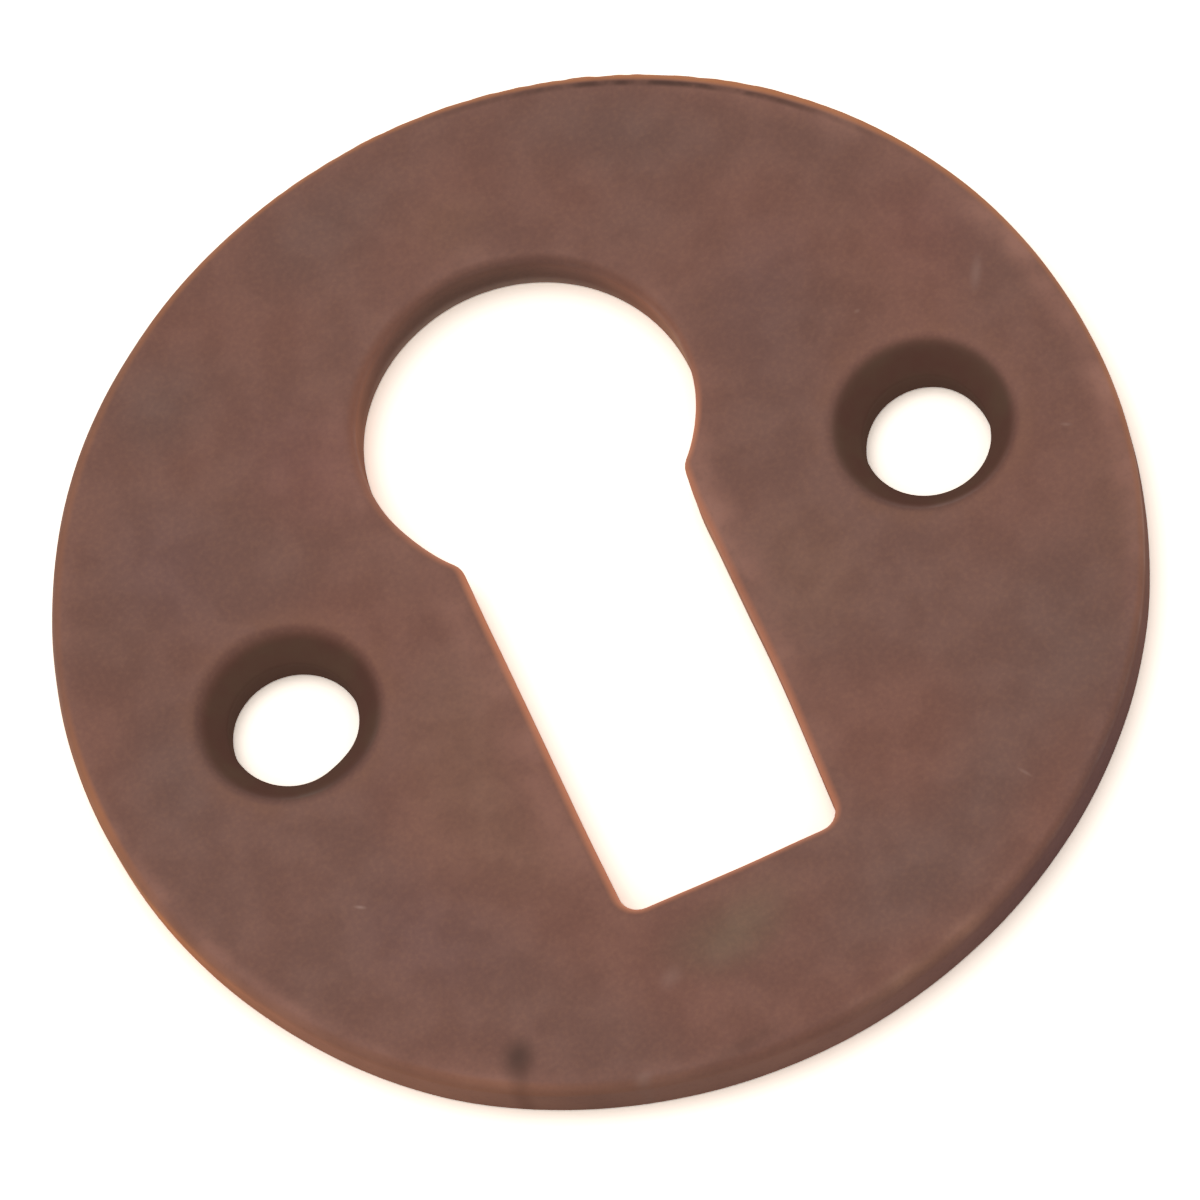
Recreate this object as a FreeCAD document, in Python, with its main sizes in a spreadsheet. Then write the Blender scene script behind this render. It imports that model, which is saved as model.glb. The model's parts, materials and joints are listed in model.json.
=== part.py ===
import FreeCAD, Part
import math
import os
import Sketcher

# Keyhole escutcheon: one flat round plate, with an open keyhole between two countersunk screw holes.
# The plate lies on its back face, and its sizes are in millimetres. The origin is in the middle of the
# back face, +Z comes out of the front, and +Y points to the round end of the keyhole.

NODE = "escutcheon_plate"

# Each driving dimension, with what it measures.
DIMENSIONS = [
    ("plate_diameter", 38.0, "outside diameter of the plate"),
    ("plate_thickness", 2.0, "back face to front face"),
    ("rim_rounding", 0.4, "radius on the front edge of the rim"),
    ("barrel_diameter", 11.9, "round end of the keyhole, where the key's barrel passes"),
    ("barrel_height", 6.55, "middle of the round end, above the middle of the plate"),
    ("neck_width", 8.4, "width of the slot where it leaves the round end"),
    ("foot_width", 8.0, "width of the slot at its foot"),
    ("foot_drop", 12.2, "foot of the slot, below the middle of the plate"),
    ("neck_rounding", 0.7, "radius on the two corners at the neck"),
    ("foot_rounding", 0.7, "radius in the two corners at the foot"),
    ("keyhole_rounding", 0.45, "radius on the front edge of the keyhole"),
    ("screw_spacing", 24.0, "between the axes of the two screw holes"),
    ("screw_offset", 0.45, "middle of the pair of holes, to the right of the middle of the plate"),
    ("screw_hole_diameter", 4.5, "straight wall of a screw hole"),
    ("countersink_diameter", 6.6, "mouth of a countersink, at the front face"),
    ("countersink_angle", 90.0, "full angle of a countersink's cone, in degrees"),
    ("countersink_rounding", 0.2, "radius on the mouth of a countersink"),
]

TOLERANCE = 1e-4
START, END, CENTRE = 1, 2, 3
ORIGIN = (-1, 1)
X_AXIS, Y_AXIS = -1, -2
UP = FreeCAD.Vector(0, 0, 1)


def make_sheet(doc):
    """The driving dimensions, one row each: its name, its value and what it measures."""
    sheet = doc.addObject("Spreadsheet::Sheet", "Sizes")
    for row, (name, value, meaning) in enumerate(DIMENSIONS, start=1):
        sheet.set(f"A{row}", name)
        sheet.set(f"B{row}", str(value))
        sheet.set(f"C{row}", meaning)
        sheet.setAlias(f"B{row}", name)
    doc.recompute()
    return sheet


def new_sketch(body, name, role, height=None):
    """An empty sketch on one of the body's own origin planes, raised by a height from the sheet."""
    sketch = body.newObject("Sketcher::SketchObject", name)
    plane = next(feature for feature in body.Origin.OriginFeatures if feature.Role == role)
    sketch.AttachmentSupport = (plane, [""])
    sketch.MapMode = "FlatFace"
    if height:
        sketch.setExpression("AttachmentOffset.Base.z", height)
    return sketch


def line(x0, y0, x1, y1):
    return Part.LineSegment(FreeCAD.Vector(x0, y0, 0), FreeCAD.Vector(x1, y1, 0))


def arc(x, y, radius, first, last):
    """An arc about (x, y), anticlockwise between two angles in degrees."""
    circle = Part.Circle(FreeCAD.Vector(x, y, 0), UP, radius)
    return Part.ArcOfCircle(circle, math.radians(first), math.radians(last))


def tie(sketch, kind, *places):
    """A constraint without a size, such as Coincident or Tangent."""
    sketch.addConstraint(Sketcher.Constraint(kind, *places))


def measure(sketch, name, expression, kind, *places):
    """A constraint whose size follows an expression in the sheet's dimensions."""
    value = float(sketch.evalExpression(expression))
    index = sketch.addConstraint(Sketcher.Constraint(kind, *places, value))
    sketch.renameConstraint(index, name)
    sketch.setExpression(f"Constraints.{name}", expression)


def took_away(before, after):
    """Stops at a cut or a rounding that removed nothing."""
    if after.Shape.Volume > before.Shape.Volume - TOLERANCE:
        raise RuntimeError(f"{after.Name} took nothing away from {before.Name}")


def make_disc(body, sheet):
    """The plain disc, turned about Z from its half section, with a rounded front edge."""
    sketch = new_sketch(body, "DiscSection", "XZ_Plane")
    radius = sheet.plate_diameter / 2
    top = sheet.plate_thickness
    rounding = sheet.rim_rounding
    back = sketch.addGeometry(line(0, 0, radius, 0))
    rim = sketch.addGeometry(line(radius, 0, radius, top - rounding))
    corner = sketch.addGeometry(arc(radius - rounding, top - rounding, rounding, 0, 90))
    front = sketch.addGeometry(line(radius - rounding, top, 0, top))
    axis = sketch.addGeometry(line(0, top, 0, 0))
    tie(sketch, "Coincident", back, START, *ORIGIN)
    tie(sketch, "Coincident", back, END, rim, START)
    tie(sketch, "Tangent", rim, END, corner, START)
    tie(sketch, "Tangent", corner, END, front, START)
    tie(sketch, "Coincident", front, END, axis, START)
    tie(sketch, "Coincident", axis, END, back, START)
    tie(sketch, "Horizontal", back)
    tie(sketch, "Vertical", rim)
    tie(sketch, "Horizontal", front)
    tie(sketch, "Vertical", axis)
    measure(sketch, "radius", "Sizes.plate_diameter / 2", "DistanceX", back, START, back, END)
    measure(sketch, "thickness", "Sizes.plate_thickness", "DistanceY", axis, END, axis, START)
    measure(sketch, "rounding", "Sizes.rim_rounding", "Radius", corner)
    disc = body.newObject("PartDesign::Revolution", "Disc")
    disc.Profile = sketch
    disc.ReferenceAxis = (sketch, ["V_Axis"])
    disc.Angle = 360
    body.Document.recompute()
    return disc


def cut_keyhole(body, disc, sheet):
    """The keyhole, cut through from the front: a round end, and a slot that narrows a little to its
    foot. The slot leaves the circle where the circle is as wide as the neck."""
    sketch = new_sketch(body, "KeyholeOutline", "XY_Plane", "Sizes.plate_thickness")
    barrel = sheet.barrel_diameter / 2
    height = sheet.barrel_height
    half_neck = sheet.neck_width / 2
    half_foot = sheet.foot_width / 2
    foot = -sheet.foot_drop
    neck_turn = math.degrees(math.acos(half_neck / barrel))
    neck = height - barrel * math.sin(math.radians(neck_turn))
    round_end = sketch.addGeometry(arc(0, height, barrel, -neck_turn, 180 + neck_turn))
    left = sketch.addGeometry(line(-half_neck, neck, -half_foot, foot))
    bottom = sketch.addGeometry(line(-half_foot, foot, half_foot, foot))
    right = sketch.addGeometry(line(half_foot, foot, half_neck, neck))
    tie(sketch, "Coincident", round_end, END, left, START)
    tie(sketch, "Coincident", left, END, bottom, START)
    tie(sketch, "Coincident", bottom, END, right, START)
    tie(sketch, "Coincident", right, END, round_end, START)
    tie(sketch, "PointOnObject", round_end, CENTRE, Y_AXIS)
    tie(sketch, "Horizontal", round_end, START, round_end, END)
    tie(sketch, "Symmetric", bottom, START, bottom, END, Y_AXIS)
    measure(sketch, "barrel", "Sizes.barrel_diameter", "Diameter", round_end)
    measure(sketch, "barrel_height", "Sizes.barrel_height", "DistanceY", *ORIGIN, round_end, CENTRE)
    measure(sketch, "neck", "Sizes.neck_width", "DistanceX", left, START, right, END)
    measure(sketch, "foot", "Sizes.foot_width", "DistanceX", bottom, START, bottom, END)
    measure(sketch, "drop", "Sizes.foot_drop", "DistanceY", bottom, START, *ORIGIN)
    keyhole = body.newObject("PartDesign::Pocket", "Keyhole")
    keyhole.Profile = sketch
    keyhole.Type = "ThroughAll"
    body.Document.recompute()
    took_away(disc, keyhole)
    return keyhole


def edges_where(feature, wanted):
    """The names of the edges of a feature for which a test holds."""
    edges = enumerate(feature.Shape.Edges, start=1)
    return [f"Edge{number}" for number, edge in edges if wanted(edge)]


def round_edges(body, base, name, size, wanted):
    """A fillet on the edges of a feature for which a test holds. Its radius is a size of the sheet."""
    fillet = body.newObject("PartDesign::Fillet", name)
    fillet.Base = (base, edges_where(base, wanted))
    fillet.setExpression("Radius", f"Sizes.{size}")
    body.Document.recompute()
    return fillet


def round_keyhole(body, keyhole, sheet):
    """Radii on the corners at the neck and at the foot, then on the whole front edge."""
    def upright_at(x, edge):
        box = edge.BoundBox
        return box.ZLength > TOLERANCE and box.XLength < TOLERANCE and abs(abs(box.XMin) - x) < TOLERANCE

    def front_outline(edge):
        return edge.BoundBox.ZMin > sheet.plate_thickness - TOLERANCE and not edge.isClosed()

    at_neck = round_edges(body, keyhole, "NeckCorners", "neck_rounding",
                          lambda edge: upright_at(sheet.neck_width / 2, edge))
    at_foot = round_edges(body, at_neck, "FootCorners", "foot_rounding",
                          lambda edge: upright_at(sheet.foot_width / 2, edge))
    at_front = round_edges(body, at_foot, "KeyholeEdge", "keyhole_rounding", front_outline)
    took_away(at_foot, at_front)
    return at_front


def drill_screw_holes(body, base, sheet):
    """Two countersunk holes through the plate, on the line across its middle."""
    sketch = new_sketch(body, "ScrewHoleCentres", "XY_Plane", "Sizes.plate_thickness")
    radius = sheet.screw_hole_diameter / 2
    centres = [sheet.screw_offset + side * sheet.screw_spacing / 2 for side in (-1, 1)]
    left, right = [sketch.addGeometry(Part.Circle(FreeCAD.Vector(x, 0, 0), UP, radius)) for x in centres]
    tie(sketch, "PointOnObject", left, CENTRE, X_AXIS)
    tie(sketch, "PointOnObject", right, CENTRE, X_AXIS)
    tie(sketch, "Equal", left, right)
    measure(sketch, "hole", "Sizes.screw_hole_diameter", "Diameter", left)
    measure(sketch, "spacing", "Sizes.screw_spacing", "DistanceX", left, CENTRE, right, CENTRE)
    measure(sketch, "right_hole", "Sizes.screw_spacing / 2 + Sizes.screw_offset",
            "DistanceX", *ORIGIN, right, CENTRE)
    body.Document.recompute()
    holes = body.newObject("PartDesign::Hole", "ScrewHoles")
    holes.Profile = sketch
    holes.DepthType = "ThroughAll"
    holes.Threaded = False
    holes.ThreadType = "None"
    holes.HoleCutType = "Countersink"
    holes.HoleCutCustomValues = True
    holes.setExpression("Diameter", "Sizes.screw_hole_diameter")
    holes.setExpression("HoleCutDiameter", "Sizes.countersink_diameter")
    holes.setExpression("HoleCutCountersinkAngle", "Sizes.countersink_angle")
    body.Document.recompute()
    took_away(base, holes)
    return holes


def round_countersinks(body, holes, sheet):
    """A small radius where each countersink meets the front face."""
    def mouth(edge):
        box = edge.BoundBox
        at_front = box.ZMin > sheet.plate_thickness - TOLERANCE
        return at_front and edge.isClosed() and abs(box.XLength - sheet.countersink_diameter) < TOLERANCE

    at_mouths = round_edges(body, holes, "CountersinkEdges", "countersink_rounding", mouth)
    took_away(holes, at_mouths)
    return at_mouths


def make_plate(doc, sheet):
    """The whole escutcheon: the disc, less its keyhole and screw holes, with their edges rounded."""
    body = doc.addObject("PartDesign::Body", "EscutcheonPlate")
    body.Label = NODE
    disc = make_disc(body, sheet)
    keyhole = cut_keyhole(body, disc, sheet)
    rounded = round_keyhole(body, keyhole, sheet)
    holes = drill_screw_holes(body, rounded, sheet)
    round_countersinks(body, holes, sheet)
    body.Placement = FreeCAD.Placement()
    doc.recompute()
    return body


def check(doc, body):
    """Stops at any object that failed, and at a plate that is not one sound solid."""
    for thing in doc.Objects:
        if "Invalid" in thing.State or "Error" in thing.State:
            raise RuntimeError(f"{thing.Name} failed: {thing.State}")
    shape = body.Shape
    if shape.isNull() or not shape.isValid() or len(shape.Solids) != 1:
        raise RuntimeError(f"{body.Label} is not one sound solid")


doc = FreeCAD.newDocument("KeyholeEscutcheon")
sheet = make_sheet(doc)
plate = make_plate(doc, sheet)
check(doc, plate)
os.makedirs("parts", exist_ok=True)
plate.Shape.exportStep(f"parts/{plate.Label}.step")
box = plate.Shape.optimalBoundingBox()
print(f"{plate.Label}: {box.XLength:.3f} x {box.YLength:.3f} x {box.ZLength:.3f} mm,", end=" ")
print(f"{plate.Shape.Volume:.2f} mm3, {len(plate.Shape.Faces)} faces")
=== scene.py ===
"""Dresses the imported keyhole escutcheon: a round plate in brown patinated brass, on a white floor."""
import json
import math

import bmesh
import bpy
import numpy as np
from mathutils import Matrix, Vector, geometry, kdtree, noise


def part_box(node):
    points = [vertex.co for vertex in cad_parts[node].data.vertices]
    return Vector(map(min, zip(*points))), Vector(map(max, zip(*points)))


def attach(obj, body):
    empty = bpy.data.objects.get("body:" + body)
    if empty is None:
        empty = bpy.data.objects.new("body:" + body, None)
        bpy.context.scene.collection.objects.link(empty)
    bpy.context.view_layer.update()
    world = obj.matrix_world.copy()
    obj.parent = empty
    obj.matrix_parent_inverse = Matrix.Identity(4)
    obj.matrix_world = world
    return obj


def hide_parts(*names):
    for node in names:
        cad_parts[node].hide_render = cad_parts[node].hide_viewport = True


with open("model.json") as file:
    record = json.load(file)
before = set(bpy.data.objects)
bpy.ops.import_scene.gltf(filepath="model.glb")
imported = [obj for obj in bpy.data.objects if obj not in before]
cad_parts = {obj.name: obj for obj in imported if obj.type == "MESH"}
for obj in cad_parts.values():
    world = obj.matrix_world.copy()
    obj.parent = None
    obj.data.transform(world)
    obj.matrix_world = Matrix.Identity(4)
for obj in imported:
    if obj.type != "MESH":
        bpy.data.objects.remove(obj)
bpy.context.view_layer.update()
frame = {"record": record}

# Lengths are in millimetres, and turn into metres where a mesh or an object is made
MM = 0.001
NODE = "escutcheon_plate"
BODY = "root"
SLOT = "patinated_brass"
box_low, box_high = (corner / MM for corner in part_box(NODE))
RADIUS = (box_high.x - box_low.x) / 2
THICKNESS = box_high.z

# The keyhole, which is symmetric about the plate's Y axis
BARREL_RADIUS = 5.95
BARREL_HEIGHT = 6.55
NECK_HALF = 4.2
FOOT_HALF = 4.0
FOOT_LEVEL = -12.2
NECK_ROUNDING = 0.7
FOOT_ROUNDING = 0.7

# The screw holes, from the record. Their cones widen by as much as they rise
mounts = {mount["name"]: mount for mount in frame["record"]["mounts"]}
SCREW_MOUNTS = [mounts["left_screw_hole"], mounts["right_screw_hole"]]
SCREW_CENTRES = [np.array(mount["pos_m"][:2]) / MM for mount in SCREW_MOUNTS]
SCREW_RADIUS = SCREW_MOUNTS[0]["dims"]["r_mm"]
SCREW_WALL = SCREW_MOUNTS[0]["dims"]["length_mm"]
MOUTH_RADIUS = SCREW_RADIUS + THICKNESS - SCREW_WALL
MOUTH_DEPTH = MOUTH_RADIUS - SCREW_RADIUS

# How far the edges' sections reach into the metal, and the slight roundings at the back
BACK_REACH = 0.3
RIM_REACH = 0.8
KEYHOLE_REACH = 0.56
MOUTH_REACH = 0.5
BACK_ROUNDING = 0.08
BORE_ROUNDING = 0.05

# How fine the mesh is, along the outlines, on the faces and through the edges
LOOP_STEP = 0.15
FRONT_STEP = 0.27
BACK_STEP = 0.9
ROUNDING_STEPS = 7
WALL_STEP = 0.2
# The points on a face keep this share of their step away from its outlines
CLEARANCE = 0.7
SAME_PLACE = 1e-6


def srgb(red, green, blue):
    """A colour as it shows on a screen, from 0 to 255, in Blender's linear values."""
    def linear(value):
        value = value / 255
        return value / 12.92 if value <= 0.04045 else ((value + 0.055) / 1.055) ** 2.4
    return (linear(red), linear(green), linear(blue), 1)


# Outlines. Each is a closed ring of points, with the way into the metal at each point

def arc(centre, radius, start, end, metal_outside=True):
    """A round stretch between two angles in degrees."""
    count = max(3, round(abs(math.radians(end - start)) * radius / LOOP_STEP))
    angles = np.radians(np.linspace(start, end, count, endpoint=False))
    away = np.column_stack([np.cos(angles), np.sin(angles)])
    return np.array(centre) + radius * away, away if metal_outside else -away


def straight(start, end):
    """A straight stretch that has the metal on its right."""
    start, end = np.array(start), np.array(end)
    length = np.linalg.norm(end - start)
    share = np.linspace(0, 1, max(2, round(length / LOOP_STEP)), endpoint=False)[:, None]
    right = np.array([end[1] - start[1], start[0] - end[0]]) / length
    return start + share * (end - start), np.tile(right, (len(share), 1))


def keyhole_outline():
    """Anticlockwise from the right end of the foot: up the flank, round the barrel, and down again."""
    foot_corner = np.array([FOOT_HALF, FOOT_LEVEL])
    neck_corner = np.array([NECK_HALF, BARREL_HEIGHT - math.sqrt(BARREL_RADIUS ** 2 - NECK_HALF ** 2)])
    up = (neck_corner - foot_corner) / np.linalg.norm(neck_corner - foot_corner)
    out = np.array([up[1], -up[0]])
    lean = math.degrees(math.atan2(up[0], up[1]))
    # The rounding at the foot lies in the hole, and touches the foot and the flank
    foot_x = FOOT_HALF - FOOT_ROUNDING * (1 + out[1]) / out[0]
    foot = np.array([foot_x, FOOT_LEVEL + FOOT_ROUNDING])
    # The rounding at the neck lies in the metal, and touches the flank and the barrel
    barrel = np.array([0.0, BARREL_HEIGHT])
    start = foot_corner + out * NECK_ROUNDING - barrel
    behind = start @ up
    reach = BARREL_RADIUS + NECK_ROUNDING
    neck = barrel + start - up * (behind + math.sqrt(behind ** 2 - start @ start + reach ** 2))
    turn = math.degrees(math.atan2(neck[1] - barrel[1], neck[0] - barrel[0]))

    mirror = np.array([-1, 1])
    flank_low = foot + out * FOOT_ROUNDING
    flank_high = neck - out * NECK_ROUNDING
    stretches = [
        arc(foot, FOOT_ROUNDING, -90, -lean),
        straight(flank_low, flank_high),
        arc(neck, NECK_ROUNDING, 180 - lean, 180 + turn, metal_outside=False),
        arc(barrel, BARREL_RADIUS, turn, 180 - turn),
        arc(neck * mirror, NECK_ROUNDING, -turn, lean, metal_outside=False),
        straight(flank_high * mirror, flank_low * mirror),
        arc(foot * mirror, FOOT_ROUNDING, 180 + lean, 270),
        straight((-foot_x, FOOT_LEVEL), (foot_x, FOOT_LEVEL)),
    ]
    return tuple(np.concatenate(parts) for parts in zip(*stretches))


# Sections through an edge, from the back face to the front face

def section(*corners):
    """Points from the first corner to the last. A corner gives its depth into the metal, its height,
    and how far before it and after it the rounding reaches."""
    places = [np.array(corner[:2], float) for corner in corners]
    points = [places[0]]
    for before, place, after, corner in zip(places, places[1:], places[2:], corners[1:]):
        enter = place + (before - place) * corner[2] / np.linalg.norm(before - place)
        leave = place + (after - place) * corner[3] / np.linalg.norm(after - place)
        points += stretch(points.pop(), enter, np.linalg.norm(place - before))
        for t in np.linspace(0, 1, ROUNDING_STEPS)[1:]:
            points.append((1 - t) ** 2 * enter + 2 * t * (1 - t) * place + t ** 2 * leave)
    points += stretch(points.pop(), places[-1], np.linalg.norm(after - place))
    return np.array(points)


def stretch(start, end, length):
    """Both ends of a straight part, with as many points between them as a length asks for."""
    count = math.ceil(length / WALL_STEP)
    return [start + (end - start) * step / count for step in range(count + 1)]


def wall_section(reach, down, inwards):
    """An upright wall, whose front corner is rounded by so much down the wall and into the face."""
    return section((BACK_REACH, 0), (0, 0, BACK_ROUNDING, BACK_ROUNDING),
                   (0, THICKNESS, down, inwards), (reach, THICKNESS))


# The rim is crisp on the right and rounder on the left, where it faces the worn way
RIM_SECTION = wall_section(RIM_REACH, 0.24, 0.24)
RIM_WORN_SECTION = wall_section(RIM_REACH, 0.6, 0.45)
RIM_WORN_WAY = np.array([-0.95, -0.3])
KEYHOLE_SECTION = wall_section(KEYHOLE_REACH, 0.4, 0.42)
SCREW_SECTION = section(
    (BACK_REACH, 0), (0, 0, BORE_ROUNDING, BORE_ROUNDING), (0, SCREW_WALL, 0.12, 0.12),
    (MOUTH_DEPTH, THICKNESS, 0.2, 0.28), (MOUTH_DEPTH + MOUTH_REACH, THICKNESS))


# The plate's mesh

def swept(outline, edge_section, worn_section=None, worn_way=(0, 0)):
    """Rings of points, one per point of the section, each as far into the metal as the section says.
    Where the edge faces the worn way, the worn section takes over."""
    points, into = outline
    if worn_section is None:
        worn_section = edge_section
    worn = ((1 - into @ np.array(worn_way)) / 2)[:, None]
    rings = []
    for crisp, rounder in zip(edge_section, worn_section):
        depth, height = ((1 - worn) * crisp + worn * rounder).T
        rings.append(np.column_stack([points + into * depth[:, None], height]))
    return rings


def inside(points, ring):
    """Which points lie inside a ring, by the number of its sides to their right."""
    result = np.zeros(len(points), bool)
    for (x0, y0), (x1, y1) in zip(ring, np.roll(ring, -1, axis=0)):
        crosses = (points[:, 1] < y0) != (points[:, 1] < y1)
        if crosses.any():
            side_x = x0 + (points[:, 1] - y0) * (x1 - x0) / (y1 - y0 or 1)
            result ^= crosses & (points[:, 0] < side_x)
    return result


def scattered(rings, step):
    """A triangular grid of points inside the first ring and outside the others, clear of them all."""
    rows = np.arange(-RADIUS, RADIUS, step * math.sqrt(3) / 2)
    grid = np.array([(x + (row % 2) * step / 2, y)
                     for row, y in enumerate(rows) for x in np.arange(-RADIUS, RADIUS, step)])
    keep = inside(grid, rings[0])
    for ring in rings[1:]:
        keep &= ~inside(grid, ring)
    grid = grid[keep]
    near = kdtree.KDTree(sum(map(len, rings)))
    for index, point in enumerate(np.concatenate(rings)):
        near.insert((*point, 0), index)
    near.balance()
    return [point for point in grid if near.find((*point, 0))[2] > CLEARANCE * step]


def filled(rings, step):
    """Triangles between the outer ring and the holes' rings. Gives the points inside, as well as the
    triangles, which count the rings' points first."""
    extra = scattered(rings, step)
    flat = [Vector(point) for ring in rings for point in ring] + [Vector(point) for point in extra]
    sides, start = [], 0
    for ring in rings:
        sides += [(start + i, start + (i + 1) % len(ring)) for i in range(len(ring))]
        start += len(ring)
    whole_triangles = 0
    with_origins = True
    placed, _, triangles, origins, _, _ = geometry.delaunay_2d_cdt(
        flat, sides, [], whole_triangles, SAME_PLACE, with_origins)
    source = [origin[0] for origin in origins]
    middles = np.array([sum((placed[i] for i in triangle), Vector((0, 0))) / 3 for triangle in triangles])
    keep = inside(middles, rings[0])
    for ring in rings[1:]:
        keep &= ~inside(middles, ring)
    faces = [[source[i] for i in triangle] for triangle, kept in zip(triangles, keep) if kept]
    return extra, faces


def plate_points():
    """All points and faces of the plate, before any unevenness."""
    rim = arc((0, 0), RADIUS, 0, 360, metal_outside=False)
    outlines = [(rim, RIM_SECTION, RIM_WORN_SECTION, RIM_WORN_WAY), (keyhole_outline(), KEYHOLE_SECTION)]
    outlines += [(arc(centre, SCREW_RADIUS, 0, 360), SCREW_SECTION) for centre in SCREW_CENTRES]
    points, faces, back_rings, front_rings = [], [], [], []
    total = 0
    for outline in outlines:
        rings = swept(*outline)
        size = len(rings[0])
        numbers = total + np.arange(len(rings) * size).reshape(len(rings), size)
        for lower, upper in zip(numbers, numbers[1:]):
            faces += np.column_stack([lower, np.roll(lower, -1), np.roll(upper, -1), upper]).tolist()
        points += rings
        total += numbers.size
        back_rings.append((rings[0][:, :2], numbers[0]))
        front_rings.append((rings[-1][:, :2], numbers[-1]))
    for rings, step, level in ((back_rings, BACK_STEP, 0.0), (front_rings, FRONT_STEP, THICKNESS)):
        extra, triangles = filled([ring for ring, _ in rings], step)
        names = np.concatenate([numbers for _, numbers in rings] + [total + np.arange(len(extra))])
        faces += names[np.array(triangles)].tolist()
        points.append(np.column_stack([np.array(extra), np.full(len(extra), level)]))
        total += len(extra)
    return np.concatenate(points), faces


# The metal's colours
PATINA_COOL = srgb(121, 85, 73)
PATINA_WARM = srgb(126, 84, 70)
TINT_GREY = srgb(108, 85, 77)
TINT_ROSE = srgb(132, 86, 77)
TINT_PURPLE = srgb(117, 83, 77)
TINT_DARK = srgb(108, 77, 66)
TINT_GREEN = srgb(114, 94, 74)
TINT_TAN = srgb(134, 97, 78)
# Darker oxide in the countersinks, which also paints the shade there
RECESS_BROWN = srgb(106, 80, 66)
RECESS_RED = srgb(104, 72, 62)
HOLE_BROWN = srgb(122, 92, 78)
# Painted shade and painted bounce light on the keyhole barrel's upper wall
PAINTED_SHADE_GREY = srgb(92, 78, 70)
PAINTED_BOUNCE_LIGHT = srgb(200, 176, 158)
WORN_COPPER = srgb(158, 112, 86)
# Rose rubbed on the face, which also paints highlights; a painted tan highlight; and painted plum shade at
# the rim's corner
ROSE_RUB_AND_HIGHLIGHT = srgb(156, 110, 94)
TAN_PAINTED_HIGHLIGHT = srgb(156, 114, 92)
EDGE_PLUM_SHADE = srgb(104, 74, 70)
# Copper rubbed on the front corner, which also paints the corner's highlight
RIM_EDGE_COPPER_AND_HIGHLIGHT = srgb(192, 124, 82)
KEYHOLE_EDGE_COPPER_AND_HIGHLIGHT = srgb(226, 146, 108)
# The walls' colours, which paint their light and shade by the way each faces
WALL_LIT_COPPER = srgb(226, 150, 106)
WALL_ROSE = srgb(188, 132, 108)
WALL_PALE = srgb(214, 164, 136)
WALL_BROWN = srgb(156, 114, 99)
WALL_UMBER = srgb(147, 108, 93)
WALL_PLUM = srgb(131, 96, 90)
WALL_DARK = srgb(118, 84, 69)
WALL_HOLLOW = srgb(137, 102, 88)
PALE_MARK = srgb(152, 120, 108)
LINE_BROWN = srgb(80, 52, 42)
DEEP_BROWN = srgb(84, 60, 52)

# How the face is rubbed along the rim, with painted highlights and painted shade in the same tints: bearing
# in degrees, colour, strength and how far it reaches
RIM_RUBBED_AND_LIT = [
    (-180, ROSE_RUB_AND_HIGHLIGHT, 0.5, 0.8),
    (-162, ROSE_RUB_AND_HIGHLIGHT, 1.0, 1.1),
    (-136, ROSE_RUB_AND_HIGHLIGHT, 0.6, 0.7),
    (-121, ROSE_RUB_AND_HIGHLIGHT, 0.55, 0.8),
    (-106, ROSE_RUB_AND_HIGHLIGHT, 0.3, 1.0),
    (-91, EDGE_PLUM_SHADE, 0.1, 0.7),
    (-76, TAN_PAINTED_HIGHLIGHT, 1.0, 0.6),
    (-62, ROSE_RUB_AND_HIGHLIGHT, 0.2, 0.8),
    (-47, EDGE_PLUM_SHADE, 0.4, 0.6),
    (-17, ROSE_RUB_AND_HIGHLIGHT, 0.95, 1.2),
    (12, ROSE_RUB_AND_HIGHLIGHT, 0.9, 1.2),
    (35, ROSE_RUB_AND_HIGHLIGHT, 0.6, 1.5),
    (57, ROSE_RUB_AND_HIGHLIGHT, 0.45, 1.1),
    (72, ROSE_RUB_AND_HIGHLIGHT, 0.1, 0.9),
    (101, ROSE_RUB_AND_HIGHLIGHT, 0.2, 1.0),
    (131, ROSE_RUB_AND_HIGHLIGHT, 0.0, 1.0),
    (150, ROSE_RUB_AND_HIGHLIGHT, 0.3, 1.3),
    (175, ROSE_RUB_AND_HIGHLIGHT, 0.3, 0.9),
]
# The same rubbing and painted highlight along the keyhole, by bearing from the middle of its barrel, all in
# one colour
KEYHOLE_RUBBED_AND_LIT = [
    (-150, 0.35, 1.5),
    (-125, 0.75, 2.2),
    (-112, 0.85, 2.2),
    (-105, 0.4, 1.4),
    (-100, 0.05, 1.0),
    (-80, 0.2, 1.0),
    (-76, 0.4, 1.2),
    (-53, 0.9, 1.8),
    (-32, 0.8, 1.2),
    (-5, 0.3, 1.0),
    (21, 0.4, 1.0),
    (60, 0.0, 1.0),
    (101, 0.35, 3.0),
    (140, 0.08, 3.0),
    (180, 0.3, 1.5),
]
# The walls' colours by the same bearings: painted light and shade, each wall lighter or darker by the way
# it faces
RIM_WALL_PAINTED_LIGHT = [
    (-178, WALL_PALE),
    (-165, WALL_LIT_COPPER),
    (-145, WALL_ROSE),
    (-113, WALL_UMBER),
    (-91, WALL_BROWN),
    (-62, WALL_PLUM),
    (-45, WALL_PLUM),
    (-18, WALL_BROWN),
    (23, WALL_BROWN),
    (63, WALL_DARK),
    (104, WALL_DARK),
]
KEYHOLE_WALL_PAINTED_LIGHT = [
    (-76, WALL_ROSE),
    (-60, WALL_PALE),
    (-20, WALL_ROSE),
    (0, WALL_PALE),
    (21, WALL_ROSE),
    (50, WALL_BROWN),
    (74, WALL_HOLLOW),
    (101, WALL_HOLLOW),
    (127, WALL_BROWN),
    (154, WALL_ROSE),
]
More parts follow.
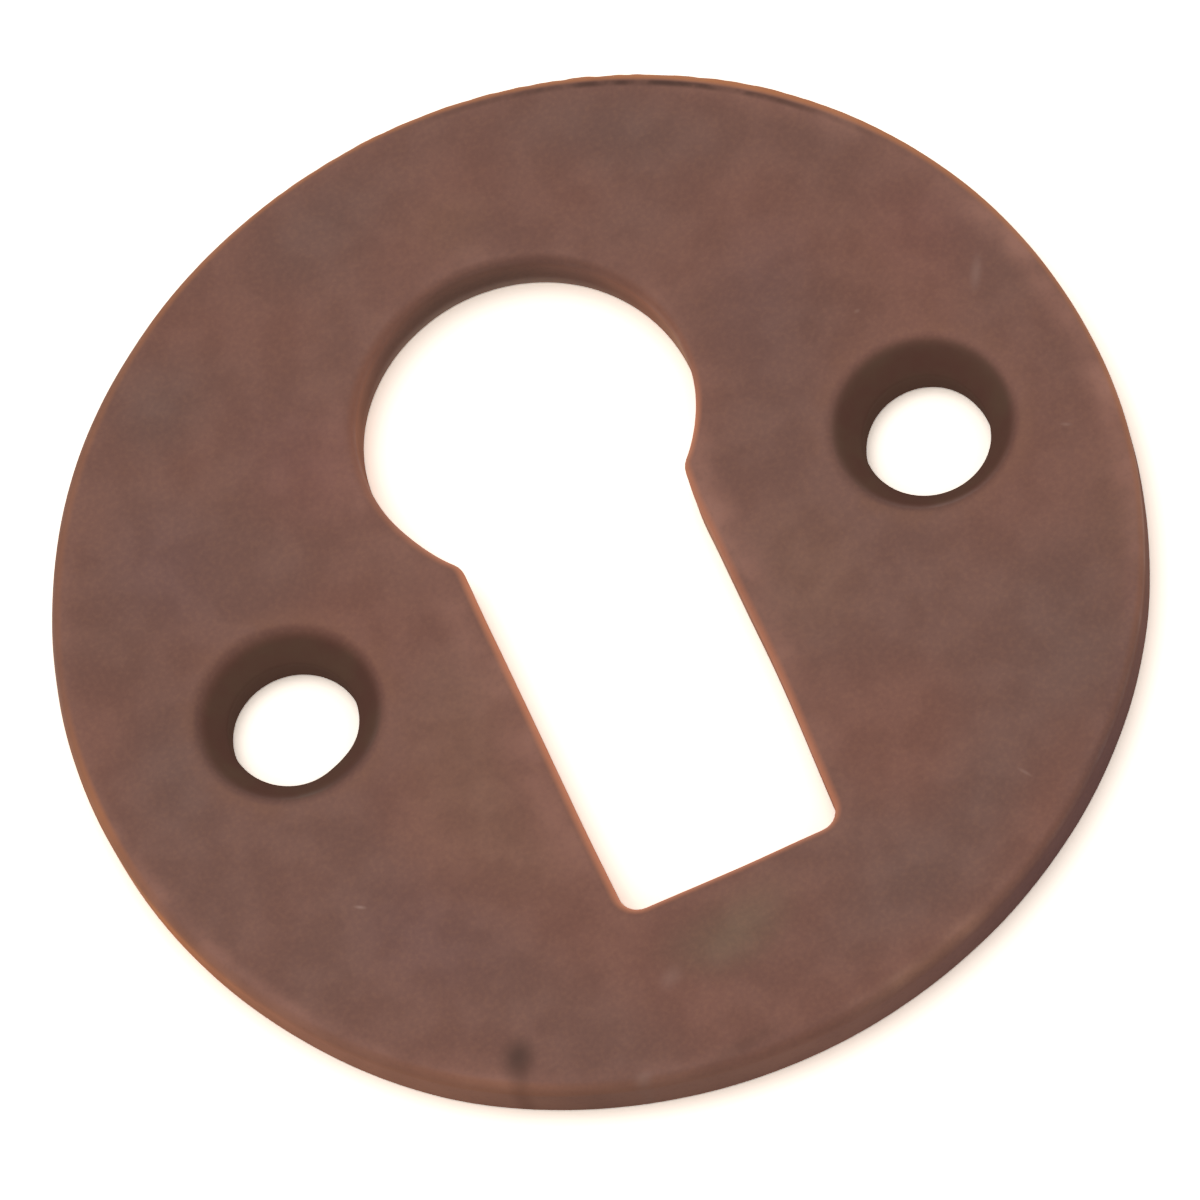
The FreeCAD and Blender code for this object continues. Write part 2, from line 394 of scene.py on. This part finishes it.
# How far the front corner is rubbed to the copper, and how much painted highlight it carries, by the same
# bearings
BARE_RIM_AND_HIGHLIGHT = [
    (-178, 0.7),
    (-165, 0.12),
    (-136, 0.12),
    (-121, 0.22),
    (-100, 0.05),
    (-46, 0.0),
    (-18, 0.3),
    (-4, 0.7),
    (57, 1.0),
    (101, 0.9),
    (131, 0.3),
    (166, 0.15),
]
BARE_KEYHOLE_AND_HIGHLIGHT = [
    (-160, 0.5),
    (-130, 1.0),
    (-85, 0.9),
    (-65, 0.6),
    (-30, 1.0),
    (-5, 0.25),
    (48, 0.0),
    (100, 0.0),
    (140, 0.15),
    (170, 0.15),
]

# Broad faint patches of the patina: middle, half sizes, turn in degrees, colour and strength
PATCHES = [
    ((7.5, 15.5), (8.0, 3.2), -30, TINT_GREY, 0.45),
    ((-3.0, 16.2), (5.0, 3.0), 15, TINT_GREY, 0.35),
    ((-11.2, 13.6), (3.5, 2.6), 40, TINT_GREY, 0.45),
    ((-16.4, -0.6), (2.4, 4.0), 0, TINT_GREY, 0.4),
    ((13.4, -9.3), (3.4, 5.2), -30, TINT_GREY, 0.35),
    ((5.0, -14.6), (6.5, 3.4), 20, TINT_GREY, 0.45),
    ((-1.8, -13.6), (3.0, 1.6), 5, TINT_GREEN, 0.6),
    ((-7.6, 8.6), (2.6, 5.2), 15, TINT_ROSE, 0.5),
    ((-6.9, -5.2), (3.4, 5.5), -10, TINT_TAN, 0.4),
    ((6.9, -3.2), (2.4, 4.6), -5, TINT_TAN, 0.4),
    ((0.8, 14.6), (2.6, 1.8), 0, TINT_TAN, 0.35),
    ((16.0, 7.0), (2.6, 4.0), 25, TINT_ROSE, 0.35),
    ((17.2, -6.0), (1.8, 4.6), -18, TINT_TAN, 0.35),
    ((-13.4, 7.0), (3.6, 4.4), 20, TINT_PURPLE, 0.5),
    ((-10.6, -10.4), (4.4, 3.6), -35, TINT_PURPLE, 0.5),
    ((9.2, 6.8), (3.6, 5.0), -10, TINT_PURPLE, 0.45),
    ((-16.0, 4.8), (3.2, 8.0), 12, TINT_DARK, 0.5),
    ((10.6, 5.0), (4.5, 3.6), -10, TINT_DARK, 0.4),
    ((9.2, -12.4), (3.4, 2.8), 35, TINT_GREY, 0.35),
    ((14.6, -9.6), (3.2, 3.6), -35, TINT_DARK, 0.3),
    ((-5.6, -6.6), (2.2, 5.0), -6, TINT_TAN, 0.35),
]
# How far the patches' edges wander
PATCH_EDGE_WANDER = 1.6
# About how wide the features are: of that wandering, of the mottling and of the uneven rubbing
WANDER_LENGTH = 7.0
MOTTLE_LENGTH = 6.0
RUBBING_LENGTH = 1.3
# The share of the rubbing that is left where it is weakest
LEAST_RUBBING = 0.4
# What is this near to the keyhole's outline belongs to its edge
KEYHOLE_EDGE = 0.6
# The walls' colours are full up to one height and gone from the next
WALL_FULL = 1.4
WALL_TOP = 1.93
# What is lower than this is the back
BACK_LEVEL = 0.01
# The countersinks' colour sits a little off their drawn centres, as the holes do
RECESS_SHIFTS = np.array([[-0.05, -0.19], [-0.08, 0.03]])

# How the real plate departs from its drawing: where, how far the shift reaches, and the shift
NUDGES = [
    ((-18.6, 3.0), 9.0, (-0.15, 0.03)),
    ((-11.7, -15.0), 4.5, (-0.06, -0.08)),
    ((12.2, 14.5), 6.0, (0.03, 0.06)),
    ((-11.55, 0.0), 4.0, (-0.05, -0.18)),
    ((12.45, 0.0), 4.0, (-0.08, -0.1)),
    ((14.6, 0.6), 1.6, (-0.09, 0.0)),
    ((-10.7, -2.1), 0.9, (-0.03, 0.08)),
    ((-14.2, 12.6), 6.0, (-0.13, 0.12)),
    ((18.9, 1.5), 5.0, (-0.08, 0.0)),
    ((0.0, 19.0), 6.0, (0.0, 0.02)),
    ((-8.3, 17.1), 3.0, (-0.02, 0.05)),
    ((18.0, -6.0), 3.0, (-0.05, 0.02)),
    ((4.1, -6.0), 3.5, (0.09, 0.0)),
    ((4.2, 2.3), 1.2, (0.07, 0.03)),
    ((4.2, 1.0), 1.0, (-0.05, 0.0)),
    ((6.0, 5.0), 2.4, (0.07, -0.01)),
    ((-5.9, 6.0), 2.0, (0.08, 0.0)),
    ((-5.3, 3.9), 1.5, (0.09, 0.07)),
    ((-4.2, 1.6), 1.5, (0.03, 0.0)),
    ((-4.1, -3.0), 6.0, (0.045, 0.0)),
    ((4.0, -12.2), 2.5, (-0.03, -0.045)),
    ((0.3, -12.2), 2.0, (0.0, -0.04)),
    ((-4.0, -12.2), 2.5, (0.06, 0.05)),
]
# The face sinks below its drawn level in waves and ripples, and falls off towards the rim
WAVE_HEIGHT = 0.018
WAVE_LENGTH = 7.0
RIPPLE_HEIGHT = 0.005
RIPPLE_LENGTH = 2.2
EDGE_FALL = 0.035
EDGE_REACH = 1.2
WALL_RIPPLE = 0.02
# The far rim is nicked: where and how far that reaches, and how far in from the rim
NICKED_RIM = ((5.5, 18.2), 9.0)
NICK_DEPTH = 0.05
NICK_LENGTH = 0.45
NICK_REACH = 0.2
# On the lower right the wall leans in towards the back, below a height
LEANING_RIM = ((6.5, -17.9), 10.0)
LEAN = 0.08
LEAN_REACH = 0.5
LEAN_TOP = 1.2


def eased(value, low, high):
    """From 0 to 1 as the value goes from low to high, smoothly."""
    share = np.clip((np.asarray(value) - low) / (high - low), 0, 1)
    return share * share * (3 - 2 * share)


def noise_at(points, length, octaves=1):
    """Noise about 0 at each point, with features of about a length in millimetres."""
    if octaves == 1:
        return np.array([noise.noise(Vector(point) / length) for point in points])
    return np.array([noise.fractal(Vector(point) / length, 1.0, 2.0, octaves) for point in points])


def near_to(flat, centre, reach):
    """1 at a place on the plate, fading out over about a reach round it."""
    return np.exp(-((flat - centre) ** 2).sum(axis=1) / reach ** 2)


def made_uneven(points):
    """The plate's points, with the small irregularities of a cast and hand-rubbed plate."""
    flat = points[:, :2].copy()
    moved = points.copy()
    for centre, reach, shift in NUDGES:
        moved[:, :2] += near_to(flat, centre, reach)[:, None] * np.array(shift)
    from_middle = np.linalg.norm(flat, axis=1)
    rim_gap = np.maximum(RADIUS - from_middle, 0)
    # Both noises go from -1 to 1, and here from -1 to 0, so that they only take away
    wave = (noise_at(points, WAVE_LENGTH) - 1) / 2
    ripple = (noise_at(points, RIPPLE_LENGTH) - 1) / 2
    lift = WAVE_HEIGHT * wave + RIPPLE_HEIGHT * ripple - EDGE_FALL * np.exp(-rim_gap / EDGE_REACH)
    moved[:, 2] += lift * points[:, 2] / THICKNESS
    nicks = NICK_DEPTH * noise_at(points, NICK_LENGTH)
    nicks *= near_to(flat, *NICKED_RIM) * np.exp(-rim_gap / NICK_REACH)
    lean = LEAN * eased(points[:, 2], LEAN_TOP, 0.0)
    lean *= near_to(flat, *LEANING_RIM) * np.exp(-rim_gap / LEAN_REACH)
    outward = flat / np.maximum(from_middle, 1)[:, None]
    moved[:, :2] += outward * (WALL_RIPPLE * ripple + nicks - lean)[:, None]
    return moved


def mixed(colours, other, share):
    """Colours, with a share of another colour over each."""
    return colours + np.reshape(share, (-1, 1)) * (np.array(other) - colours)


def by_bearing(bearings, table):
    """Values in between those that a table gives at some bearings."""
    known = [row[0] for row in table]
    values = np.array([np.hstack(row[1:]) for row in table])
    return np.column_stack([np.interp(bearings, known, column, period=360) for column in values.T])


def keyhole_gaps(points):
    """How far each point is from the keyhole's outline, seen from the front."""
    ring = keyhole_outline()[0]
    near = kdtree.KDTree(len(ring))
    for index, point in enumerate(ring):
        near.insert((*point, 0), index)
    near.balance()
    return np.array([near.find((x, y, 0))[2] for x, y, _ in points])


def patina_colours(points):
    """Two browns, mottled, with broad faint patches over them."""
    colours = np.tile(PATINA_COOL, (len(points), 1))
    colours = mixed(colours, PATINA_WARM, eased(noise_at(points, MOTTLE_LENGTH, 2), -0.7, 0.7))
    wander = [noise.turbulence_vector(Vector(point) / WANDER_LENGTH, 1, False) for point in points]
    flat = points[:, :2] + PATCH_EDGE_WANDER * np.array(wander)[:, :2]
    for centre, size, turn, tint, strength in PATCHES:
        cosine, sine = math.cos(math.radians(turn)), math.sin(math.radians(turn))
        local = (flat - centre) @ np.array([[cosine, -sine], [sine, cosine]]) / size
        colours = mixed(colours, tint, strength * eased(np.linalg.norm(local, axis=1), 1.0, 0.0))
    return colours


def surface_values(points):
    """For each point its colour, with painted light and shade on the walls, its share of rubbed copper and
    painted highlight on the corner, and its distance to the keyhole.
    """
    x, y, height = points.T
    bearing = np.degrees(np.arctan2(y, x))
    round_barrel = np.degrees(np.arctan2(y - BARREL_HEIGHT, x))
    rim_gap = RADIUS - np.hypot(x, y)
    keyhole_gap = keyhole_gaps(points)
    in_keyhole = keyhole_gap < KEYHOLE_EDGE

    # Lighter where it is rubbed, unevenly, but not on the back. Along the rim and the keyhole this also
    # paints highlights, and along part of the rim painted shade
    colours = patina_colours(points)
    unevenness = eased(noise_at(points, RUBBING_LENGTH, 2), -0.5, 0.5)
    rubbing = (LEAST_RUBBING + (1 - LEAST_RUBBING) * unevenness) * eased(height, 0.0, 0.3)
    tint, strength, reach = np.split(by_bearing(bearing, RIM_RUBBED_AND_LIT), [4, 5], axis=1)
    colours = mixed(colours, tint, rubbing * strength[:, 0] * eased(rim_gap / reach[:, 0], 1.0, 0.2))
    strength, reach = by_bearing(round_barrel, KEYHOLE_RUBBED_AND_LIT).T
    colours = mixed(colours, ROSE_RUB_AND_HIGHLIGHT, rubbing * strength * eased(keyhole_gap / reach, 1.0, 0.1))

    # The walls' painted light and shade, but not in the countersinks, which have a colour of their own
    keyhole_wall_light, rim_wall_light = by_bearing(round_barrel, KEYHOLE_WALL_PAINTED_LIGHT), by_bearing(bearing, RIM_WALL_PAINTED_LIGHT)
    wall = np.where(in_keyhole[:, None], keyhole_wall_light, rim_wall_light)
    middle_gaps = [np.hypot(*(points[:, :2] - centre).T) for centre in SCREW_CENTRES]
    in_screw_hole = np.minimum(*middle_gaps) < MOUTH_RADIUS + MOUTH_REACH
    edge_gap = np.minimum(rim_gap, keyhole_gap)
    on_back = height < BACK_LEVEL
    at_edge = np.where(on_back, eased(edge_gap, BACK_REACH, 0.1), eased(edge_gap, 1.0, 0.4))
    colours = mixed(colours, wall, eased(height, WALL_TOP, WALL_FULL) * at_edge * ~in_screw_hole)

    # The barrel's upper wall has painted shade, greyer halfway down, and painted bounce light from the
    # floor, lighter at its foot
    painted_barrel_top = in_keyhole * at_edge * eased(y - BARREL_HEIGHT, 0.5, 6.2)
    halfway = eased(height, 1.5, 0.7) * eased(height, 0.05, 0.6)
    colours = mixed(colours, PAINTED_SHADE_GREY, 0.35 * painted_barrel_top * halfway)
    colours = mixed(colours, PAINTED_BOUNCE_LIGHT, 0.45 * painted_barrel_top * eased(height, 0.7, 0.0))

    keyhole_bare_and_highlight, rim_bare_and_highlight = by_bearing(round_barrel, BARE_KEYHOLE_AND_HIGHLIGHT), by_bearing(bearing, BARE_RIM_AND_HIGHLIGHT)
    bare = np.where(in_keyhole, keyhole_bare_and_highlight[:, 0], rim_bare_and_highlight[:, 0])
    return colours, bare, keyhole_gap


def make_plate():
    """The plate's mesh, with the values at its points that the material reads."""
    points, faces = plate_points()
    mesh = bpy.data.meshes.new("plate_surface")
    mesh.from_pydata((made_uneven(points) * MM).tolist(), [], faces)
    surface = bmesh.new()
    surface.from_mesh(mesh)
    bmesh.ops.recalc_face_normals(surface, faces=surface.faces)
    surface.to_mesh(mesh)
    surface.free()
    mesh.shade_smooth()
    colours, bare, keyhole_gap = surface_values(points)
    # The colours hold the patina, and the painted light and shade on the walls and on the keyhole's upper
    # wall
    mesh.attributes.new("patina", "FLOAT_COLOR", "POINT").data.foreach_set("color", colours.ravel())
    mesh.attributes.new("bare", "FLOAT", "POINT").data.foreach_set("value", bare)
    mesh.attributes.new("keyhole_gap", "FLOAT", "POINT").data.foreach_set("value", keyhole_gap)
    plate = bpy.data.objects.new("plate", mesh)
    bpy.context.scene.collection.objects.link(plate)
    return plate


# Shader nodes

def add_node(tree, kind, inputs=None, **settings):
    """A node with its settings. Inputs are given by name or number, as values or other nodes' outputs."""
    made = tree.nodes.new(kind)
    for name, value in settings.items():
        setattr(made, name, value)
    for name, value in (inputs or {}).items():
        if isinstance(value, bpy.types.NodeSocket):
            tree.links.new(value, made.inputs[name])
        else:
            made.inputs[name].default_value = value
    return made


def new_tree(holder):
    """The empty node tree of a material or a world."""
    holder.use_nodes = True
    holder.node_tree.nodes.clear()
    return holder.node_tree


class Surface:
    """The plate's material while it is being made. Places are in millimetres on the plate."""

    def __init__(self, name):
        self.material = bpy.data.materials.new(name)
        self.tree = new_tree(self.material)
        whole = add_node(self.tree, "ShaderNodeTexCoord").outputs["Object"]
        self.place = self.vector("SCALE", whole, scale=1 / MM)
        split = add_node(self.tree, "ShaderNodeSeparateXYZ", {0: self.place}).outputs
        self.height = split[2]
        self.flat = self.vector("MULTIPLY", self.place, (1, 1, 0))

    def attribute(self, name, output):
        """A value that the mesh holds at its points."""
        return add_node(self.tree, "ShaderNodeAttribute", attribute_name=name).outputs[output]

    def vector(self, operation, a, b=None, scale=None):
        inputs = {0: a}
        if b is not None:
            inputs[1] = b
        if scale is not None:
            inputs["Scale"] = scale
        made = add_node(self.tree, "ShaderNodeVectorMath", inputs, operation=operation)
        return made.outputs["Value" if operation in ("LENGTH", "DISTANCE") else "Vector"]

    def math(self, operation, a, b=0.0):
        return add_node(self.tree, "ShaderNodeMath", {0: a, 1: b}, operation=operation).outputs[0]

    def times(self, product, *factors):
        """The product of two or more values."""
        for factor in factors:
            product = self.math("MULTIPLY", product, factor)
        return product

    def span(self, value, low, high, at_low=0.0, at_high=1.0):
        """Turns a range of one value smoothly into a range of another."""
        inputs = {"Value": value, "From Min": low, "From Max": high, "To Min": at_low, "To Max": at_high}
        return add_node(self.tree, "ShaderNodeMapRange", inputs, interpolation_type="SMOOTHSTEP").outputs[0]

    def blend(self, share, a, b):
        """Colour a, with a share of colour b over it."""
        made = add_node(self.tree, "ShaderNodeMix", data_type="RGBA")
        for socket, value in zip((made.inputs[0], made.inputs[6], made.inputs[7]), (share, a, b)):
            if isinstance(value, bpy.types.NodeSocket):
                self.tree.links.new(value, socket)
            else:
                socket.default_value = value
        return made.outputs[2]

    def grain(self, size, detail=2.0, stretch=None, turn=0.0):
        """Noise whose features are about so many millimetres wide."""
        place = self.place
        if stretch:
            place = add_node(self.tree, "ShaderNodeMapping", {
                "Vector": place, "Rotation": (0, 0, math.radians(turn)), "Scale": stretch}).outputs[0]
        inputs = {"Vector": place, "Scale": 1 / size, "Detail": detail}
        return add_node(self.tree, "ShaderNodeTexNoise", inputs).outputs[0]

    def spot(self, centre, size, turn=0.0):
        """1 in the middle of an oval place on the plate, fading to 0 at its edge."""
        local = add_node(self.tree, "ShaderNodeMapping", {
            "Vector": self.flat, "Location": (*centre, 0),
            "Rotation": (0, 0, math.radians(turn)), "Scale": (*size, 1)}, vector_type="TEXTURE").outputs[0]
        gap = self.vector("LENGTH", local)
        return self.span(gap, 0.0, 1.0, 1.0, 0.0)


# How wide the features of the material's noises are, and how deep its relief is
CLOUD_SIZE = 1.6
GRIT_SIZE = 0.16
SATIN_SIZE = 0.5
BREAK_SIZE = 0.9
RELIEF_DEPTH = 0.006
# The face's own values begin at this height on its front corner
FACE_START = 1.5
# The painted shade inside the far rim, where its rounding turns away, lies in this oval place
FAR_RIM_SHADE = ((9.6, 16.4), (14.5, 4.5), -30)

# Small marks: middle, half sizes, turn in degrees, and how much lighter, or darker below nought
MARKS = [
    ((16.3, 4.35), (1.0, 0.3), 62, 0.4),
    ((12.0, 4.87), (0.16, 0.12), 0, 0.35),
    ((16.76, -2.35), (0.30, 0.10), -30, 0.4),
    ((-12.08, -7.87), (0.3, 0.1), -33, 0.8),
    ((10.3, -13.5), (0.4, 0.09), -58, 0.45),
    ((-3.46, -14.97), (0.7, 0.5), 30, 0.25),
    ((-5.74, -17.9), (0.5, 0.35), 0, 0.4),
    ((-9.27, -15.31), (1.05, 0.85), 60, -0.95),
    ((-9.5, -16.0), (1.4, 0.6), 62, -0.3),
    ((-2.2, -18.3), (2.2, 0.45), 5, -0.3),
]


def patinated_brass():
    """Patinated brass, with rubbed edges that carry painted highlights, painted light and shade on the
    walls, countersinks darkened by oxide and painted shade, painted shade along the far rim, and small
    marks.
    """
    look = Surface(SLOT)
    rim_gap = look.math("SUBTRACT", RADIUS, look.vector("LENGTH", look.flat))
    keyhole_gap = look.attribute("keyhole_gap", "Fac")
    cone_middles = [(*middle, 0) for middle in SCREW_CENTRES + RECESS_SHIFTS]
    centre_gaps = [look.vector("DISTANCE", look.flat, middle) for middle in cone_middles]
    mouth_gap = look.math("SUBTRACT", look.math("MINIMUM", *centre_gaps), MOUTH_RADIUS)
    above_back = look.span(look.height, 0.0, 0.05)
    on_face = look.span(look.height, FACE_START, WALL_TOP)

    # The colour from the mesh: patina, rubbing, and painted light and shade on the walls, with a finer
    # grain
    colour = look.attribute("patina", "Color")
    cloud = look.span(look.grain(CLOUD_SIZE, 3.0), 0.3, 0.7)
    colour = look.blend(look.times(cloud, 0.14), colour, TINT_PURPLE)
    grit = look.grain(GRIT_SIZE)
    colour = look.blend(look.span(grit, 0.45, 0.75, 0.0, 0.13), colour, WORN_COPPER)
    colour = look.blend(look.span(grit, 0.25, 0.5, 0.11, 0.0), colour, DEEP_BROWN)

    # Dark in the countersinks, from darker oxide and from painted shade, lighter down the bore, with a
    # faint lighter ring round them
    ring = look.times(look.span(mouth_gap, -0.02, 0.15), look.span(mouth_gap, 0.15, 1.0, 0.22, 0.0))
    colour = look.blend(look.times(ring, cloud, above_back), colour, WORN_COPPER)
    recess = look.times(look.span(mouth_gap, -0.4, 0.0, 1.0, 0.0), above_back)
    recess_colour = look.blend(cloud, RECESS_BROWN, RECESS_RED)
    recess_colour = look.blend(look.span(look.height, 0.85, 1.0), HOLE_BROWN, recess_colour)
    colour = look.blend(look.times(recess, 0.94), colour, recess_colour)

    # The corner is rubbed to the copper along the rim and the keyhole, and carries a painted highlight
    # there
    at_keyhole = look.span(keyhole_gap, 0.0, 0.34, 1.0, 0.0)
    at_rim = look.span(rim_gap, 0.08, 0.33, 1.0, 0.0)
    bare = look.times(look.attribute("bare", "Fac"), look.span(look.height, 1.3, 1.6))
    colour = look.blend(look.times(at_rim, bare), colour, RIM_EDGE_COPPER_AND_HIGHLIGHT)
    colour = look.blend(look.times(at_keyhole, bare), colour, KEYHOLE_EDGE_COPPER_AND_HIGHLIGHT)

    # Painted shade along the far rim, dark and broken
    far_rim_shade = look.times(look.span(rim_gap, 0.2, 0.34), look.span(rim_gap, 0.38, 0.56, 1.0, 0.0))
    broken = look.span(look.grain(BREAK_SIZE, 3.0), 0.35, 0.6, 0.4, 1.0)
    colour = look.blend(look.times(far_rim_shade, broken, look.spot(*FAR_RIM_SHADE), on_face), colour, LINE_BROWN)

    # Small marks
    for centre, size, turn, lighter in MARKS:
        share = look.times(look.spot(centre, size, turn), above_back, abs(lighter))
        colour = look.blend(share, colour, PALE_MARK if lighter > 0 else LINE_BROWN)

    # The face is a satin metal. The walls and the countersinks are duller
    satin = look.grain(SATIN_SIZE, 4.0, stretch=(0.25, 1.0, 1.0), turn=25)
    relief = look.math("ADD", look.times(grit, 0.5), look.times(satin, 0.7))
    bump = add_node(look.tree, "ShaderNodeBump", {
        "Strength": 1.0, "Distance": RELIEF_DEPTH * MM, "Height": relief})
    metal = look.times(look.span(recess, 0.0, 1.0, 0.25, 0.1), look.span(on_face, 0.0, 1.0, 0.3, 1.0))
    wall_roughness = look.span(on_face, 0.0, 1.0, 0.2, 0.0)
    roughness = look.math("ADD", look.span(cloud, 0.0, 1.0, 0.5, 0.62), wall_roughness)
    sheen = look.times(look.span(recess, 0.0, 1.0, 0.28, 0.1), on_face)
    shader = add_node(look.tree, "ShaderNodeBsdfPrincipled", {
        "Base Color": colour, "Metallic": metal, "Roughness": roughness,
        "Specular IOR Level": sheen, "Normal": bump.outputs[0]})
    add_node(look.tree, "ShaderNodeOutputMaterial", {"Surface": shader.outputs[0]})
    return look.material


# Stage

FLOOR_DROP = 0.02
FLOOR_SIZE = 1600
WHITE = (1, 1, 1, 1)
FLOOR_GREY = (0.75, 0.75, 0.75, 1)
# To the camera the floor is more than white, so that only the deepest of the shadow shows
FLOOR_WHITE = (2.25, 2.08, 1.86, 1)
SKY_STRENGTH = 0.53
LAMP_WAY = (-0.09, 0.21, 0.97)
LAMP_DISTANCE = 1400
LAMP_SIZE = 1000
LAMP_POWER = 4.7


def white_floor():
    """White to the camera, less what the plate's shadow takes away, and white in reflections."""
    material = bpy.data.materials.new("white_floor")
    tree = new_tree(material)
    path = add_node(tree, "ShaderNodeLightPath").outputs
    mirrored = add_node(tree, "ShaderNodeMath", {
        0: path["Is Glossy Ray"], 1: path["Is Transmission Ray"]}, operation="MAXIMUM").outputs[0]
    lit = add_node(tree, "ShaderNodeBsdfDiffuse", {"Color": FLOOR_GREY}).outputs[0]
    white = add_node(tree, "ShaderNodeBsdfDiffuse", {"Color": FLOOR_WHITE}).outputs[0]
    glow = add_node(tree, "ShaderNodeEmission", {"Color": WHITE, "Strength": 1.0}).outputs[0]
    both = add_node(tree, "ShaderNodeMixShader", {0: path["Is Camera Ray"], 1: lit, 2: white}).outputs[0]
    both = add_node(tree, "ShaderNodeMixShader", {0: mirrored, 1: both, 2: glow}).outputs[0]
    add_node(tree, "ShaderNodeOutputMaterial", {"Surface": both})
    return material


def make_floor():
    """A plain square, just below the plate."""
    half = FLOOR_SIZE / 2 * MM
    level = -FLOOR_DROP * MM
    corners = [(x, y, level) for x, y in ((-half, -half), (half, -half), (half, half), (-half, half))]
    mesh = bpy.data.meshes.new("floor")
    mesh.from_pydata(corners, [], [(0, 1, 2, 3)])
    mesh.materials.append(white_floor())
    floor = bpy.data.objects.new("floor", mesh)
    bpy.context.scene.collection.objects.link(floor)


def make_world():
    """Even light from all round, and white where the camera or a reflection looks past the floor."""
    world = bpy.data.worlds.new("studio")
    bpy.context.scene.world = world
    tree = new_tree(world)
    path = add_node(tree, "ShaderNodeLightPath").outputs
    sky, white = [
        add_node(tree, "ShaderNodeBackground", {"Color": WHITE, "Strength": strength}).outputs[0]
        for strength in (SKY_STRENGTH, 1.0)]
    seen = path["Is Camera Ray"]
    for kind in ("Is Glossy Ray", "Is Transmission Ray"):
        seen = add_node(tree, "ShaderNodeMath", {0: seen, 1: path[kind]}, operation="MAXIMUM").outputs[0]
    both = add_node(tree, "ShaderNodeMixShader", {0: seen, 1: sky, 2: white}).outputs[0]
    add_node(tree, "ShaderNodeOutputWorld", {"Surface": both})


def soft_lamp(name, way, distance, size, power):
    """A square lamp that looks at the plate, from a way given as a vector."""
    lamp = bpy.data.lights.new(name, "AREA")
    lamp.size = size * MM
    lamp.energy = power
    holder = bpy.data.objects.new(name, lamp)
    way = Vector(way).normalized()
    holder.location = way * distance * MM
    holder.rotation_euler = way.to_track_quat("Z", "Y").to_euler()
    bpy.context.scene.collection.objects.link(holder)


# The camera, from how the plate lies in the photograph. Its turns are in degrees
VIEW_TILT = 24.98
VIEW_BEARING = -2.33
VIEW_ROLL = -22.35
VIEW_LENS = 300
VIEW_SENSOR = 36
NEAREST_SEEN = 10
FURTHEST_SEEN = 10000
# Where the camera has the middle of the plate's front
PLATE_IN_VIEW = Vector((-0.171, 1.028, -343.6))


def make_camera():
    """The camera at the photograph's angle."""
    turn = (Matrix.Rotation(math.radians(VIEW_BEARING), 4, "Z")
            @ Matrix.Rotation(math.radians(VIEW_TILT), 4, "X")
            @ Matrix.Rotation(math.radians(VIEW_ROLL), 4, "Z"))
    camera = bpy.data.cameras.new("camera")
    camera.lens = VIEW_LENS
    camera.sensor_width = VIEW_SENSOR
    camera.clip_start = NEAREST_SEEN * MM
    camera.clip_end = FURTHEST_SEEN * MM
    holder = bpy.data.objects.new("camera", camera)
    front_middle = Vector((0, 0, THICKNESS))
    place = front_middle - turn.to_3x3() @ PLATE_IN_VIEW
    holder.matrix_world = Matrix.Translation(place * MM) @ turn
    bpy.context.scene.collection.objects.link(holder)
    bpy.context.scene.camera = holder


plate = make_plate()
plate.data.materials.append(patinated_brass())
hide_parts(NODE)
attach(plate, BODY)

make_floor()
make_world()
soft_lamp("overhead", LAMP_WAY, LAMP_DISTANCE, LAMP_SIZE, LAMP_POWER)
make_camera()
bpy.context.scene.view_settings.view_transform = "Standard"
